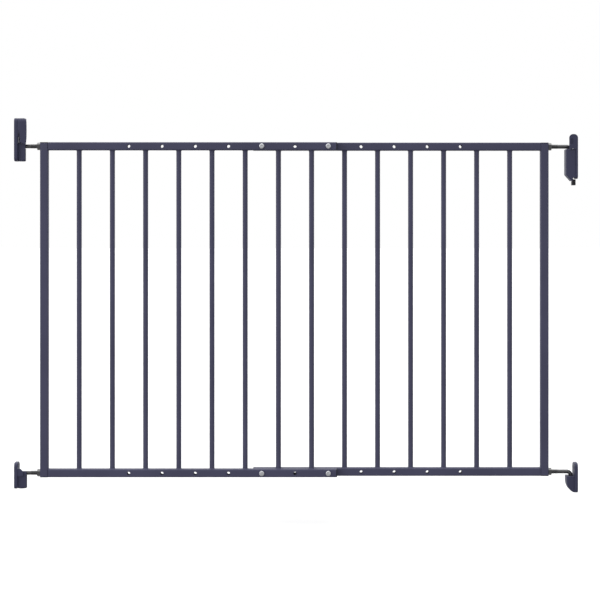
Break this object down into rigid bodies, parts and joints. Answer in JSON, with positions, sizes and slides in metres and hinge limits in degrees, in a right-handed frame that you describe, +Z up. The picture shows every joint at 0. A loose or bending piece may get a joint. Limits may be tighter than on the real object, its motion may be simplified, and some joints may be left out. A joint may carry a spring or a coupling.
{
  "type": "extending safety gate",
  "caption": "Wall-mounted extending metal barrier of two overlapping barred sections, lifted off a latch and swung on two hooked hinge rods.",
  "frame": {"origin": "back face of the lower hinge bracket, level with the lower rods' axis", "axes": "+X across the opening from the hinge wall to the latch wall, +Y the way the gate opens, +Z up"},
  "size_m": [1.119, 0.0472, 0.7449],
  "materials": {
    "powder_coat": "satin powder coat, dark blue-grey",
    "bracket_plastic": "fine moulded grain, dark blue-grey",
    "black_rod": "glossy black coating",
    "zinc": "bright zinc plate",
    "black_plastic": "black moulded plastic",
    "nylon": "natural nylon",
    "spring_steel": "drawn spring wire"
  },
  "bodies": {
    "wall_fittings": {"hinge_upper_bracket": "bracket_plastic", "hinge_upper_guard": "bracket_plastic", "hinge_lower_bracket": "bracket_plastic", "latch_upper_plate": "bracket_plastic", "latch_upper_housing": "bracket_plastic", "latch_lower_cup": "bracket_plastic", "lever_pivot_pin": "zinc"},
    "pivot_bushes": {"pivot_bush_upper": "nylon", "pivot_bush_lower": "nylon"},
    "gate": {"clamp_nuts": "zinc", "clamp_screws": "zinc", "clamp_washers": "zinc", "front_bar_1": "powder_coat", "front_bar_2": "powder_coat", "front_bar_3": "powder_coat", "front_bar_4": "powder_coat", "front_bar_5": "powder_coat", "front_bar_6": "powder_coat", "front_bar_7": "powder_coat", "front_bar_8": "powder_coat", "front_bottom_rail": "powder_coat", "front_bottom_rail_plug": "black_plastic", "front_post": "powder_coat", "front_post_cap_bottom": "black_plastic", "front_post_cap_top": "black_plastic", "front_top_rail": "powder_coat", "front_top_rail_plug": "black_plastic", "hinge_insert_lower": "zinc", "hinge_insert_upper": "zinc", "hinge_lock_nut_lower": "black_rod", "hinge_lock_nut_upper": "black_rod", "hinge_rod_lower": "black_rod", "hinge_rod_upper": "black_rod", "latch_insert_lower": "zinc", "latch_insert_upper": "zinc", "latch_lock_nut_lower": "black_rod", "latch_lock_nut_upper": "black_rod", "latch_rod_lower": "black_rod", "latch_rod_upper": "black_rod", "rear_bar_1": "powder_coat", "rear_bar_2": "powder_coat", "rear_bar_3": "powder_coat", "rear_bar_4": "powder_coat", "rear_bar_5": "powder_coat", "rear_bar_6": "powder_coat", "rear_bar_7": "powder_coat", "rear_bar_8": "powder_coat", "rear_bottom_rail": "powder_coat", "rear_bottom_rail_plug": "black_plastic", "rear_post": "powder_coat", "rear_post_cap_bottom": "black_plastic", "rear_post_cap_top": "black_plastic", "rear_top_rail": "powder_coat", "rear_top_rail_plug": "black_plastic"},
    "release_lever": {"latch_lever": "black_plastic", "release_tab": "black_plastic", "lever_spring": "spring_steel"}
  },
  "joints": [
    {"name": "lift", "type": "slide", "parent": "wall_fittings", "child": "pivot_bushes", "axis": [0, 0, 1], "range_m": [0, 0.015]},
    {"name": "swing", "type": "hinge", "parent": "pivot_bushes", "child": "gate", "pos_m": [0.0135, 0, 0], "axis": [0, 0, 1], "range_deg": [0, 85]},
    {"name": "release", "type": "hinge", "parent": "wall_fittings", "child": "release_lever", "pos_m": [1.104, 0.016, 0.611], "axis": [0, -1, 0], "range_deg": [0, 4], "stiffness_Nm_per_rad": 0.5, "springref_deg": -5.73}
  ]
}
